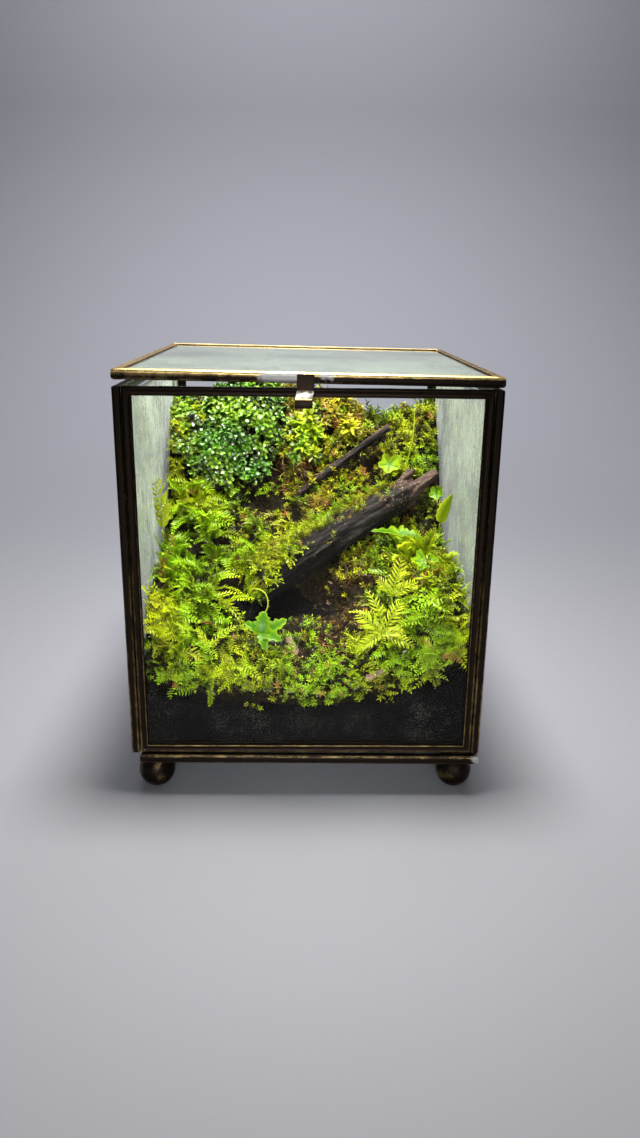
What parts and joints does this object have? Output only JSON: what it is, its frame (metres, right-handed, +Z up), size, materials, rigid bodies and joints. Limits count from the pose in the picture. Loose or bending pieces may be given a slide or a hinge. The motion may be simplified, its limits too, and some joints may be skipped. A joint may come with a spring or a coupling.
{
  "type": "glass plant terrarium",
  "caption": "Small glass box in thin dark brass channel on ball feet, with a hinged glass lid and thumb tab, planted with moss, ferny fronds and driftwood over black soil.",
  "frame": {"origin": "middle of the outline on the surface that the four ball feet stand on", "axes": "+Z up, the longest extent; +Y from the front, where the thumb tab is, to the hinge at the back; +X to the right seen from the front, the shortest extent"},
  "size_m": [0.1, 0.12, 0.1213],
  "materials": {
    "brass": "antique brass, dark, satin, brighter on its worn edges and grey with solder in places",
    "glass": "clear sheet glass, with fine condensation inside the lid",
    "soil": "black damp soil with pale dust specks",
    "bark": "dark weathered bark, fibrous, pinkish brown where it is broken",
    "moss_dark": "dark glossy rosette moss",
    "moss_olive": "olive and brownish tufts of moss",
    "moss_bright": "bright yellow-green moss",
    "moss_litter": "brown litter with a little moss through it",
    "frond": "yellow-green ferny fronds, slightly translucent",
    "leaf": "bright green small leaves, slightly waxy",
    "stem": "thin green stem",
    "litter": "dry pale brown litter"
  },
  "bodies": {
    "case": {"frame_front": "brass", "frame_back": "brass", "frame_left": "brass", "frame_right": "brass", "frame_base": "brass", "foot_front_left": "brass", "foot_back_left": "brass", "foot_front_right": "brass", "foot_back_right": "brass", "hinge_case_leaf": "brass", "hinge_pin": "brass", "pane_front": "glass", "pane_back": "glass", "pane_left": "glass", "pane_right": "glass", "pane_base": "glass", "soil": "soil", "driftwood_log": "bark", "driftwood_twig": "bark", "moss_rosette_back_left": "moss_dark", "moss_tuft_back_middle": "moss_olive", "moss_fine_back_right": "moss_bright", "moss_feather_left": "moss_bright", "moss_cushion_over_log": "moss_bright", "moss_between_wood": "moss_olive", "moss_right_wall": "moss_bright", "moss_hollow_litter": "moss_litter", "moss_left_bank": "moss_bright", "moss_front_carpet": "moss_bright", "moss_right_bank": "moss_bright", "frond_star": "frond", "frond_upright": "frond", "frond_low_right": "frond", "frond_arch_left": "frond", "frond_arch_low": "frond", "frond_arch_middle": "frond", "frond_left_edge": "frond", "leaf_cluster": "leaf", "leaf_upper": "leaf", "leaf_right_wall": "leaf", "leaf_clover": "leaf", "leaf_under_log": "leaf", "leaf_oval": "leaf", "stem_upright": "stem", "rootlet_curled": "litter", "litter_chip_right": "litter", "litter_chip_middle": "litter"},
    "lid": {"lid_frame": "brass", "lid_pane": "glass", "lid_tab": "brass", "hinge_lid_leaf": "brass"}
  },
  "joints": [
    {"name": "lid_hinge", "type": "hinge", "parent": "case", "child": "lid", "pos_m": [0, 0.05865, 0.11737], "axis": [-1, 0, 0], "range_deg": [0, 105]}
  ]
}
